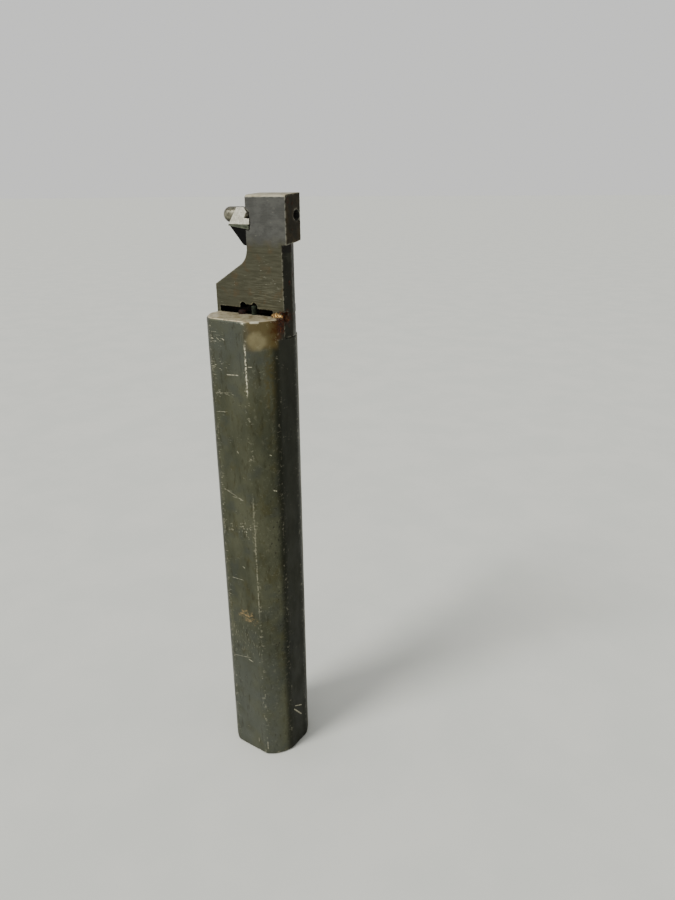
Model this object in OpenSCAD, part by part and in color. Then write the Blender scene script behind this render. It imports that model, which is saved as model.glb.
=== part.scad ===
// Indexable boring tool: a round bar with four flats, a bolted blade head, and a clamped insert.
// X runs across the front flat, Y from the front flat to the back, Z along the bar from its lower end.
// Lengths are in millimetres.

/* [Bar] */
// Diameter of the round bar
bar_d = 38.1; // [36:0.1:42]
// Length of the bar below its front shoulder
bar_len = 223.5; // [120:0.5:300]
// Distance across the front and back flats
flat_depth = 33.2; // [32.8:0.1:34]
// Distance across the left and right flats
flat_width = 36.2; // [35.4:0.1:36.6]
// Chamfer around both ends
end_chamfer = 0.8; // [0.4:0.1:1.2]

/* [Head] */
// Diameter that the head's foot and neck are turned to
head_d = 37.6; // [37:0.1:38]
// Thickness of the blade, front to back
blade_t = 9.8; // [9.4:0.1:10.4]
// How far the blade's front face stands in front of the bar's axis
front_offset = 1; // [0.5:0.1:1.5]
// Depth of the seat that is cut into the back of the bar for the head's foot
lap_depth = 8.5; // [8:0.5:12]
// Height of the blade's left shoulder above the bar
shoulder_h = 11.6; // [9:0.1:12]
// Slope of the left shoulder, in degrees
shoulder_angle = 30.5; // [28:0.1:32]
// Radius between the left shoulder and the neck
neck_fillet = 7.6; // [5:0.1:8]
// Height of the whole head above the bar's front shoulder, at the front edge
head_h = 46.5; // [46:0.1:50]
// Height of the square block at the top of the head, at the front edge
block_h = 18.1; // [17.8:0.1:18.6]
// Left side of the neck and block, measured from the bar's axis
block_left = -0.2; // [-0.3:0.1:0]
// Right side of the block, measured from the bar's axis
block_right = 20.4; // [20:0.1:21]
// Rise of the block's top face to the back, in degrees
top_relief = 5; // [3:0.5:7]
// Rise of the block's underside to the back, in degrees
under_relief = 9; // [6:0.5:12]

/* [Insert] */
// Height of the insert's top face above the bar's front shoulder
insert_top = 36.05; // [35.9:0.05:36.1]
// Thickness of the insert at its root
insert_t = 2; // [2:0.1:2.2]
// Slope of the insert's underside, in degrees
insert_taper = 7; // [5:0.1:7]
// Reach of the insert's front corner to the left of the bar's axis
insert_reach = 9.3; // [9:0.1:9.6]
// Included angle of the insert's nose, in degrees
nose_angle = 60; // [58:1:64]
// Radius of the insert's nose
nose_r = 0.8; // [0.4:0.1:1.2]

/* [Clamp] */
// Height of the clamp screw's axis above the bar's front shoulder
screw_h = 39.7; // [39.6:0.05:39.8]
// Angle by which the clamp screw leans to the back, in degrees
screw_lean = 7; // [5:0.5:7.5]
// Diameter of the clamp screw's thread
screw_d = 4; // [3.6:0.1:4]
// Diameter of the clamp screw's round head
screw_head_d = 6.3; // [6:0.1:6.4]

/* [Hidden] */
$fn = 96;
eps = 0.01;

// how far a cutting shape runs past the face it cuts
over = 1;

// gap between parts that stay put, and gap between parts that move
fit_gap = 0.05;
run_gap = 0.1;
bar_r = bar_d / 2;
head_r = head_d / 2;
blade_front = -front_offset;
blade_back = blade_front + blade_t;
ledge_z = bar_len - lap_depth;
top_z = bar_len + head_h;
block_z = top_z - block_h;
neck_left = block_left - 0.2;

// turning centre in the bar's lower end
centre_d = 4;
centre_depth = 8;
centre_mouth_d = 8;
centre_mouth_depth = 3.5;

// foot of the head behind the blade, kept inside the bar's round and back flat
heel_inset = 0.2;

// notch in the right-hand corner between the foot and the bar's shoulder
corner_notch_r = 1.7;
corner_notch_y = blade_front + 1.2;
corner_notch_drop = 1.6;
corner_notch_h = 3.8;

// relief groove and window along the foot of the blade
groove_left = -16.9;
groove_right = 12.2;
groove_h = 2.5;
groove_depth = 4.5;
window_x = -0.8;
window_w = 6.2;
window_h = 3.9;

// key pins on the joint line between bar and foot
left_pin_d = 4;
left_pin_x = -3.9;
left_pin_h = 1.9;
right_pin_d = 2.4;
right_pin_x = 2.3;
right_pin_h = 3.9;
pin_depth = 6.5;
ear_h = 4.8;
ear_d = 3.1;

// heel screws behind the blade
heel_screw_x = 9.5;
heel_screw_y = 12.6;
heel_screw_d = 4;
heel_head_d = 7;
heel_head_h = 4;
heel_head_edge = 0.4;
heel_key = 3;
heel_socket_depth = 2;
heel_thread_depth = 9;

// insert pocket in the left edge of the block
pocket_wall = 2;
pocket_floor = bar_len + insert_top - insert_t - fit_gap;
pocket_roof = bar_len + 42.2;
insert_z = bar_len + insert_top;
insert_front = blade_front - 0.1;
insert_back = blade_back - 1.4;
root_gap = 0.65;

// seat below the insert
seat_drop = 6.6;
seat_foot = 1.7;
seat_foot_rise = 0.35;
seat_tip_inset = 0.3;
seat_front = blade_front + 0.3;
seat_back = insert_back - 0.4;
seat_screw_d = 3;
seat_screw_y = 3.4;
seat_screw_z = insert_z - 4.6;
seat_screw_len = 9;
seat_thread_depth = 7;
seat_head_d = 4.2;
seat_head_h = 0.6;
seat_head_x = neck_left - 2.9;
seat_key = 2;
seat_socket_depth = 1.2;

// clamp above the insert, and its screw
clamp_front = blade_front - 0.2;
clamp_back = 6.4;
clamp_top = bar_len + 42.6;
clamp_heel_h = 2.1;
clamp_shoulder_h = 4.7;
clamp_reach = insert_reach - 0.2;
screw_y = 4.2;
screw_z = bar_len + screw_h;
screw_tail = 16;
screw_hole_depth = 25;
screw_key = 2.5;
screw_socket_rise = 1.2;
spot_face = 6.4;
head_reach = 12.8;

// a prism drawn in the XZ plane, from y0 back to y1
module front_prism(y0, y1) {
    translate([0, y1, 0]) rotate([90, 0, 0]) linear_extrude(y1 - y0) children();
}

// a prism drawn in the YZ plane, from x0 to x1
module side_prism(x0, x1) {
    translate([x0, 0, 0]) rotate([90, 0, 90]) linear_extrude(x1 - x0) children();
}

// a rectangle with chamfered corners, centred across, standing on its lower edge
module chamfered(w, h) {
    polygon([
        [-w / 2 + end_chamfer, 0], [w / 2 - end_chamfer, 0],
        [w / 2, end_chamfer], [w / 2, h - end_chamfer],
        [w / 2 - end_chamfer, h], [-w / 2 + end_chamfer, h],
        [-w / 2, h - end_chamfer], [-w / 2, end_chamfer]
    ]);
}

// children drawn along +Z are laid on the clamp screw's axis, pointing out of the pocket
module on_screw_axis() {
    translate([pocket_wall, screw_y, screw_z]) rotate([0, -90, screw_lean]) children();
}

// a hexagon socket, across is its width between opposite flats
module hexagon_socket(across, depth) {
    cylinder(d = across / cos(30), h = depth, $fn = 6);
}

module heel_screw_places() {
    for (side = [-1, 1]) translate([side * heel_screw_x, heel_screw_y, 0]) children();
}

module bar() {
    color("#5b5a4e")
    difference() {
        intersection() {
            rotate_extrude() intersection() {
                chamfered(bar_d, bar_len);
                square([bar_r, bar_len]);
            }
            front_prism(-bar_d, bar_d) chamfered(flat_width, bar_len);
            side_prism(-bar_d, bar_d) chamfered(flat_depth, bar_len);
        }
        translate([-bar_d, blade_front, ledge_z]) cube([2 * bar_d, bar_d, lap_depth + over]);
        heel_screw_places() translate([0, 0, ledge_z - heel_thread_depth - over])
            cylinder(d = heel_screw_d + 2 * fit_gap, h = heel_thread_depth + 2 * over);
        key_pin_hole(left_pin_x, left_pin_d);
        key_pin_hole(right_pin_x, right_pin_d);
        translate([0, 0, -eps])
            cylinder(d1 = centre_mouth_d, d2 = centre_d, h = centre_mouth_depth);
        cylinder(d = centre_d, h = centre_depth);
    }
}

module key_pin_hole(x, d) {
    translate([x, blade_front, bar_len - pin_depth])
        cylinder(d = d + 2 * fit_gap, h = pin_depth + over);
}

// front view of the blade: foot, sloped left shoulder, fillet and neck
module blade_outline() {
    slope = tan(shoulder_angle);
    shoulder_z = bar_len + shoulder_h;
    corner_z = shoulder_z + (neck_left + head_r) * slope;
    tangent = neck_fillet * tan((90 - shoulder_angle) / 2);
    centre = [neck_left - neck_fillet, corner_z + tangent];
    foot = [neck_left - tangent * cos(shoulder_angle), corner_z - tangent * sin(shoulder_angle)];
    polygon([
        [-head_r, ledge_z], [flat_width / 2, ledge_z], [flat_width / 2, top_z - block_h / 2],
        [neck_left, top_z - block_h / 2], [neck_left, corner_z], [-head_r, shoulder_z]
    ]);
    difference() {
        polygon([foot, [neck_left + eps, corner_z - eps], [neck_left + eps, centre.y], centre]);
        translate(centre) circle(neck_fillet);
    }
}

// side view of the block: both ends rise to the back, and the front top edge is chamfered
module block_side() {
    edge = 0.9;
    polygon([
        [blade_front, block_z], [blade_back, block_z + blade_t * tan(under_relief)],
        [blade_back, top_z + edge + (blade_t - edge) * tan(top_relief)],
        [blade_front + edge, top_z + edge], [blade_front, top_z]
    ]);
}

module tool_head() {
    heel_r = head_r - heel_inset;
    heel_back = flat_depth / 2 - heel_inset;
    color("#4e4f49")
    difference() {
        union() {
            intersection() {
                translate([0, 0, ledge_z]) cylinder(r = head_r, h = head_h + lap_depth);
                front_prism(blade_front, blade_back) blade_outline();
            }
            side_prism(block_left, block_right) block_side();
            intersection() {
                translate([0, 0, ledge_z]) cylinder(r = heel_r, h = lap_depth);
                translate([-bar_r, blade_back - over, ledge_z])
                    cube([bar_d, heel_back - blade_back + over, lap_depth]);
            }
        }
        insert_pocket();
        foot_relief();
        translate([flat_width / 2, corner_notch_y, bar_len - corner_notch_drop])
            cylinder(r = corner_notch_r, h = corner_notch_h);
        heel_screw_places() translate([0, 0, ledge_z - over])
            cylinder(d = heel_screw_d + 2 * run_gap, h = lap_depth + 2 * over);
        translate([neck_left - over, seat_screw_y, seat_screw_z]) rotate([0, 90, 0])
            cylinder(d = seat_screw_d + 2 * fit_gap, h = seat_thread_depth + over);
        on_screw_axis() translate([0, 0, -screw_hole_depth])
            cylinder(d = screw_d + 2 * fit_gap, h = screw_hole_depth + pocket_wall + over);
    }
}

// notch in the block's left edge, with a lip under which the clamp's shoulder wedges
module insert_pocket() {
    lip = 1.6;
    front_prism(blade_front - over, blade_back + over) polygon([
        [block_left - over, pocket_floor], [pocket_wall, pocket_floor],
        [pocket_wall, pocket_roof - lip], [block_left, pocket_roof],
        [block_left - over, pocket_roof]
    ]);
}

// low groove along the front of the foot, with the window and round ears around the key pins
module foot_relief() {
    translate([groove_left, blade_front - over, bar_len])
        cube([groove_right - groove_left, groove_depth + over, groove_h]);
    translate([window_x - window_w / 2, blade_front - over, bar_len])
        cube([window_w, groove_depth + over, window_h]);
    for (x = [left_pin_x, right_pin_x]) {
        front_prism(blade_front - over, blade_front + groove_depth)
            translate([x, bar_len + ear_h - ear_d / 2]) circle(d = ear_d);
        translate([x - ear_d / 2, blade_front - over, bar_len])
            cube([ear_d, groove_depth + over, ear_h - ear_d / 2]);
    }
    key_pin_hole(left_pin_x, left_pin_d);
    key_pin_hole(right_pin_x, right_pin_d);
}

module heel_screws() {
    tip = ledge_z - heel_thread_depth;
    color("#3a3a38")
    heel_screw_places() difference() {
        union() {
            translate([0, 0, tip]) cylinder(d = heel_screw_d, h = bar_len - tip + eps);
            translate([0, 0, bar_len]) cylinder(d = heel_head_d, h = heel_head_h - heel_head_edge);
            translate([0, 0, bar_len + heel_head_h - heel_head_edge])
                cylinder(d1 = heel_head_d, d2 = heel_head_d - 2 * heel_head_edge, h = heel_head_edge);
        }
        translate([0, 0, bar_len + heel_head_h - heel_socket_depth])
            hexagon_socket(heel_key, heel_socket_depth + over);
    }
}

// a pin driven into the joint line, standing h above the bar's shoulder with a domed end
module key_pin(x, d, h) {
    translate([x, blade_front, bar_len - pin_depth]) intersection() {
        cylinder(d = d, h = pin_depth + h);
        translate([0, 0, pin_depth + h - d]) union() {
            sphere(r = d);
            translate([0, 0, -pin_depth]) cylinder(d = d + over, h = pin_depth);
        }
    }
}

module left_key_pin() {
    color("#5a3524") key_pin(left_pin_x, left_pin_d, left_pin_h);
}

module right_key_pin() {
    color("#5f6558") key_pin(right_pin_x, right_pin_d, right_pin_h);
}

// lumps of braze in the right-hand corner between the bar's shoulder and the blade,
// each given as its place along X and its radius
module braze_bead() {
    lumps = [[13.1, 1.5], [14.3, 1.9], [15.5, 1.7], [16.5, 1.3]];
    run = 6;
    reach = 4;
    color("#b08d57")
    intersection() {
        union() for (lump = lumps) translate([lump.x, blade_front, bar_len]) sphere(r = lump.y);
        translate([groove_right, blade_front - reach, bar_len]) cube([run, reach, reach]);
    }
}

module seat() {
    color("#1c1d1c")
    difference() {
        front_prism(seat_front, seat_back) seat_outline();
        translate([seat_head_x, seat_screw_y, seat_screw_z]) rotate([0, 90, 0]) {
            cylinder(d = seat_screw_d + 2 * run_gap, h = seat_drop);
            cylinder(d1 = seat_head_d + 2 * run_gap, d2 = seat_screw_d, h = seat_head_h + run_gap);
            translate([0, 0, -seat_drop]) cylinder(d = seat_head_d + 2 * run_gap, h = seat_drop);
        }
    }
}

// right-angled wedge under the insert, with its sloped side facing down and left
module seat_outline() {
    rise = tan(insert_taper);
    top = insert_z - insert_t - fit_gap + (pocket_wall - neck_left) * rise;
    reach = insert_reach - seat_tip_inset;
    tip_z = top + (reach + neck_left) * rise;
    polygon([
        [neck_left, top], [-reach, tip_z], [neck_left - seat_foot, top - seat_drop + seat_foot_rise],
        [neck_left, top - seat_drop]
    ]);
}

module seat_screw() {
    color("#2c2c2b")
    translate([seat_head_x, seat_screw_y, seat_screw_z]) rotate([0, 90, 0]) difference() {
        union() {
            cylinder(d1 = seat_head_d, d2 = seat_screw_d, h = seat_head_h);
            cylinder(d = seat_screw_d, h = seat_screw_len);
        }
        translate([0, 0, -over]) hexagon_socket(seat_key, seat_socket_depth + over);
    }
}

// rhomboid plate with a rounded nose at its back left corner, tapering towards the nose
module insert() {
    nose_x = -insert_reach - (insert_back - insert_front) / tan(nose_angle);
    nose_in = nose_r / tan(nose_angle / 2);
    root = pocket_wall - root_gap;
    reach = 2 * insert_reach;
    color("#6f746a")
    intersection() {
        translate([0, 0, insert_z - 2 * insert_t]) linear_extrude(4 * insert_t) union() {
            polygon([
                [root, insert_front], [root, insert_back], [nose_x + nose_in, insert_back],
                [nose_x + nose_in * cos(nose_angle), insert_back - nose_in * sin(nose_angle)],
                [-insert_reach, insert_front]
            ]);
            translate([nose_x + nose_in, insert_back - nose_r]) circle(nose_r);
        }
        front_prism(insert_front - over, insert_back + over) polygon([
            [pocket_wall, insert_z - insert_t], [pocket_wall, insert_z], [-reach, insert_z],
            [-reach, insert_z - insert_t + (pocket_wall + reach) * tan(insert_taper)]
        ]);
    }
}

// wedge-shaped finger that bears on the insert, spot-faced at the back left for the screw's head
module clamp() {
    underside = insert_z + fit_gap;
    heel = pocket_wall - run_gap;
    waist = [-0.8, underside + clamp_heel_h + 0.3];
    shoulder = [0.6, underside + clamp_shoulder_h];
    top_right = -0.6;
    top_left = -4.4;
    color("#b9b8aa")
    difference() {
        front_prism(clamp_front, clamp_back) polygon([
            [-clamp_reach, underside], [heel, underside], [heel, underside + clamp_heel_h],
            waist, shoulder, [top_right, clamp_top], [top_left, clamp_top]
        ]);
        on_screw_axis() translate([0, 0, -over]) cylinder(d = screw_d + 2 * run_gap, h = head_reach);
        on_screw_axis() translate([0, 0, spot_face])
            cylinder(d = screw_head_d + 2 * run_gap, h = head_reach);
    }
}

// screw with a tall round head, a domed end and a hexagon socket
module clamp_screw() {
    dome_r = screw_head_d / 2;
    color("#a4a296")
    on_screw_axis() difference() {
        union() {
            translate([0, 0, -screw_tail]) cylinder(d = screw_d, h = screw_tail + head_reach);
            translate([0, 0, spot_face]) cylinder(r = dome_r, h = head_reach - spot_face);
            intersection() {
                translate([0, 0, head_reach]) sphere(dome_r);
                translate([0, 0, head_reach - over]) cylinder(r = screw_head_d, h = screw_head_d);
            }
        }
        translate([0, 0, head_reach + screw_socket_rise]) hexagon_socket(screw_key, dome_r);
    }
}

bar();
tool_head();
heel_screws();
left_key_pin();
right_key_pin();
braze_bead();
seat();
seat_screw();
insert();
clamp();
clamp_screw();
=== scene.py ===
import math

import bmesh
import bpy
import numpy as np
from mathutils import Matrix, Vector
from mathutils.kdtree import KDTree


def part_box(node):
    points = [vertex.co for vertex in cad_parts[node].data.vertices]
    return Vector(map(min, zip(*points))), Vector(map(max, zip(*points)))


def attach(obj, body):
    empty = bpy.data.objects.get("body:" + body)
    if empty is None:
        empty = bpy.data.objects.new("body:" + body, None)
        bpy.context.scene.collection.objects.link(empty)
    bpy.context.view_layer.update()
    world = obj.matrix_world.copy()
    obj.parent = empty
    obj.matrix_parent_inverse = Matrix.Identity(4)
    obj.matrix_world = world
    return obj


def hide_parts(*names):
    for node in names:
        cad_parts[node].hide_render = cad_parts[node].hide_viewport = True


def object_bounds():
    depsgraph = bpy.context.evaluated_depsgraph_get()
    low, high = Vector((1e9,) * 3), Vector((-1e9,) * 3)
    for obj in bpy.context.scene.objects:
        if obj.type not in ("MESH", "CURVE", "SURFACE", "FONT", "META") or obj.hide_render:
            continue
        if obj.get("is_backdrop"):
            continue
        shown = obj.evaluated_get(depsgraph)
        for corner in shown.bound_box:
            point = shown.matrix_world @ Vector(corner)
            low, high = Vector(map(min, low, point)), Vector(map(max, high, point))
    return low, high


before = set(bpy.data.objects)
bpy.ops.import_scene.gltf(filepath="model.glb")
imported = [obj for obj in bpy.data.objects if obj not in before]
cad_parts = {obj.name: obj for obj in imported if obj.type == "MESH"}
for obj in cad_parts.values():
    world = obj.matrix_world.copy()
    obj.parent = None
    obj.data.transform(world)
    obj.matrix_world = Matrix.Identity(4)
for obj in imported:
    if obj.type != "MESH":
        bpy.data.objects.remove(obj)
cad_box = [list(corner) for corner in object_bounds()]

MM = 0.001

# camera, in metres and degrees in the row frame
CAMERA_AT = (0.18894, -0.21835, 0.27108)
CAMERA_TURN = 33.71
CAMERA_DIP = 20.96
CAMERA_ROLL = -0.36
LENS_MM = 26.8
SENSOR_MM = 36

# light: one soft key from the upper left of the picture, and a studio all round
KEY_FROM = (-0.26, -0.68, 0.68)
KEY_STRENGTH = 2.7
KEY_ANGLE = 20
SKY_FAR = 0.2
SKY_NEAR = 0.85
SKY_TURN = (-0.3, 1.0)
HORIZON = 0.83
HORIZON_BAND = (0.22, 0.5)

# bar, in millimetres as in the CAD source
BAR_R = 19.05
FLAT_X = 18.1
FLAT_Y = 16.6
BAR_TOP = 223.5
LEDGE = 215.0
WALL_Y = -1.0
CHAMFER = 0.8
CENTRE_MOUTH_R = 4.0
CENTRE_R = 2.0
CENTRE_MOUTH_DEPTH = 3.5
CENTRE_DEPTH = 8.0
FLAT_EDGE_X = 9.35

# threads of both kinds of screw
PITCH = 0.7
THREAD_DEPTH = 0.36
THREAD_R = 1.96
THREAD_END_R = 1.95

# head: the height of the block's underside and of the top of the window in its foot
BLOCK_LOW = 249.5
WINDOW_HIGH = 228.6

# clamp screw: its axis starts here and points out of the block
SCREW_START = (2.0, 4.2, 263.2)
SCREW_LEAN = 7.0

# insert
INSERT_TOP = 259.55
INSERT_T = 2.0
INSERT_TAPER = 7.0
POCKET_WALL = 2.0


# ---------------------------------------------------------------- numbers

def hashed(cell, seed):
    """A repeatable random number from -1 to 1 for each lattice point."""
    h = (cell[:, 0] * 374761393 + cell[:, 1] * 668265263 + cell[:, 2] * 1440662683
         + seed * 1103515245) & 0xFFFFFFFF
    h = ((h ^ (h >> 13)) * 1274126177) & 0xFFFFFFFF
    return ((h ^ (h >> 16)) & 0xFFFF) / 32767.5 - 1


def noise(points, size, seed):
    """Smooth noise from -1 to 1 with lumps of about that size, which may differ by axis."""
    q = points / size
    cell = np.floor(q).astype(np.int64)
    f = q - cell
    f = f * f * (3 - 2 * f)
    total = np.zeros(len(points))
    for corner in range(8):
        step = np.array([corner & 1, corner >> 1 & 1, corner >> 2])
        total += np.prod(np.where(step, f, 1 - f), axis=1) * hashed(cell + step, seed)
    return total


def step(value, low, high):
    """0 below low, 1 above high, smooth between; low may be the larger."""
    t = np.clip((value - low) / (high - low), 0, 1)
    return t * t * (3 - 2 * t)


def relaxed(co, pairs, rounds):
    """The vertices after rounds of moving each halfway to its neighbours' mean."""
    count = np.bincount(pairs.ravel(), minlength=len(co))[:, None]
    for _ in range(rounds):
        total = np.zeros_like(co)
        for k in range(3):
            total[:, k] = np.bincount(pairs[:, 0], co[pairs[:, 1], k], len(co))
            total[:, k] += np.bincount(pairs[:, 1], co[pairs[:, 0], k], len(co))
        co = co + 0.5 * (total / count - co)
    return co


# ---------------------------------------------------------------- meshes

def new_object(name, mesh):
    made = bpy.data.objects.new(name, mesh)
    bpy.context.scene.collection.objects.link(made)
    return made


def mesh_from(name, points_mm, faces):
    mesh = bpy.data.meshes.new(name)
    mesh.from_pydata((np.asarray(points_mm) * MM).tolist(), [], faces)
    b = bmesh.new()
    b.from_mesh(mesh)
    bmesh.ops.recalc_face_normals(b, faces=b.faces)
    b.to_mesh(mesh)
    b.free()
    mesh.update()
    return mesh


def positions(mesh):
    """Vertex positions in millimetres."""
    co = np.zeros(len(mesh.vertices) * 3, np.float32)
    mesh.vertices.foreach_get("co", co)
    return co.reshape(-1, 3).astype(float) / MM


def set_positions(mesh, co):
    mesh.vertices.foreach_set("co", (co * MM).astype(np.float32).ravel())
    mesh.update()


def normals(mesh):
    out = np.zeros(len(mesh.vertices) * 3, np.float32)
    mesh.vertex_normals.foreach_get("vector", out)
    return out.reshape(-1, 3).astype(float)


def edge_pairs(mesh):
    out = np.zeros(len(mesh.edges) * 2, np.int32)
    mesh.edges.foreach_get("vertices", out)
    return out.reshape(-1, 2)


def paint(mesh, name, values):
    """Stores one number per vertex for the materials to read."""
    attribute = mesh.attributes.get(name) or mesh.attributes.new(name, "FLOAT", "POINT")
    attribute.data.foreach_set("value", np.asarray(values, np.float32))


def bend_of(mesh, rounds, full):
    """How convex (positive) or hollow (negative) the surface is at each vertex; full mm gives 1."""
    co = positions(mesh)
    moved = np.einsum("ij,ij->i", co - relaxed(co, edge_pairs(mesh), rounds), normals(mesh))
    return np.clip(moved / full, -1, 1)


def remade(node, voxel, rounds):
    """A dense, softly edged mesh of a CAD node's shape."""
    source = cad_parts[node].data
    b = bmesh.new()
    b.from_mesh(source)
    bmesh.ops.remove_doubles(b, verts=b.verts, dist=1e-6)
    welded = bpy.data.meshes.new(node + "_welded")
    b.to_mesh(welded)
    b.free()
    holder = new_object(node + "_welded", welded)
    modifier = holder.modifiers.new("voxels", "REMESH")
    modifier.mode = "VOXEL"
    modifier.voxel_size = voxel * MM
    bpy.context.view_layer.update()
    evaluated = holder.evaluated_get(bpy.context.evaluated_depsgraph_get())
    mesh = bpy.data.meshes.new_from_object(evaluated)
    bpy.data.objects.remove(holder)
    set_positions(mesh, relaxed(positions(mesh), edge_pairs(mesh), rounds))
    return mesh


def weather(mesh, seed, edge_full, wear=0.0, nick=0.0, uneven=0.0, dings=(), rounds=(3, 16)):
    """Wears the mesh inwards and stores the edge, hollow and ding masks."""
    co, out = positions(mesh), normals(mesh)
    sharp = bend_of(mesh, rounds[0], edge_full)
    broad = bend_of(mesh, rounds[1], edge_full * 2.2)
    edge = np.clip(sharp, 0, 1)
    depth = uneven * (0.5 + 0.5 * noise(co, 9, seed))
    depth += wear * edge * step(noise(co, 5, seed + 1), -0.2, 0.6)
    depth += nick * edge * step(noise(co, 1.3, seed + 2), 0.25, 0.75)
    ding = np.zeros(len(co))
    for at, radius, deep in dings:
        near = np.clip(1 - ((co - at) ** 2).sum(1) / radius ** 2, 0, 1) ** 2
        depth += deep * near
        ding = np.maximum(ding, near)
    set_positions(mesh, co - out * depth[:, None])
    paint(mesh, "edge", edge)
    paint(mesh, "hollow", np.clip(-broad, 0, 1))
    paint(mesh, "ding", ding)


def chosen(mesh, count, seed, inside, radii, depths):
    """Random spots on the surface for dings: (place, radius, depth) each."""
    co = positions(mesh)
    rng = np.random.default_rng(seed)
    places = np.nonzero(inside(co))[0]
    picked = rng.choice(places, count, replace=False)
    return [(co[i], rng.uniform(*radii), rng.uniform(*depths)) for i in picked]


def touching(mesh, others, full, none):
    """1 where another mesh is nearer than full mm, falling to 0 at none mm."""
    points = np.concatenate([positions(other) for other in others])
    tree = KDTree(len(points))
    for i, point in enumerate(points):
        tree.insert(point, i)
    tree.balance()
    apart = np.array([tree.find(point)[2] for point in positions(mesh)])
    return step(apart, none, full)


def finished(name, mesh, body, node, material):
    """The new piece stands for a CAD node and rides on its body."""
    mesh.materials.clear()
    mesh.materials.append(material)
    mesh.polygons.foreach_set("use_smooth", [True] * len(mesh.polygons))
    mesh.update()
    made = new_object(name, mesh)
    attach(made, body)
    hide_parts(node)


# ---------------------------------------------------------------- bar

def bar_outline(count_front, count_back):
    """The bar's outline with softened flat edges: its front half from the left, then its back half."""
    fine, steps = 7200, 4000
    angle = np.linspace(0, 2 * math.pi, fine, endpoint=False)
    radius = np.minimum(BAR_R, np.minimum(FLAT_X / np.maximum(np.abs(np.cos(angle)), 1e-9),
                                          FLAT_Y / np.maximum(np.abs(np.sin(angle)), 1e-9)))
    line = np.stack([radius * np.cos(angle), radius * np.sin(angle)], 1)
    window = 141
    kernel = np.ones(window) / window
    for k in range(2):
        padded = np.concatenate([line[-window:, k], line[:, k], line[:window, k]])
        line[:, k] = np.convolve(padded, kernel, "same")[window:-window]
    left = math.atan2(WALL_Y, -FLAT_X) % (2 * math.pi)
    right = math.atan2(WALL_Y, FLAT_X) % (2 * math.pi)
    def walk(start, stop, count):
        a = np.linspace(start, stop, steps)
        x = np.interp(a % (2 * math.pi), angle, line[:, 0], period=2 * math.pi)
        y = np.interp(a % (2 * math.pi), angle, line[:, 1], period=2 * math.pi)
        run = np.concatenate([[0], np.cumsum(np.hypot(np.diff(x), np.diff(y)))])
        want = np.linspace(0, run[-1], count + 1)[:-1]
        return np.stack([np.interp(want, run, x), np.interp(want, run, y)], 1)
    front = walk(left, right, count_front)
    back = walk(right - 2 * math.pi, left, count_back)
    return front, back


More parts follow.
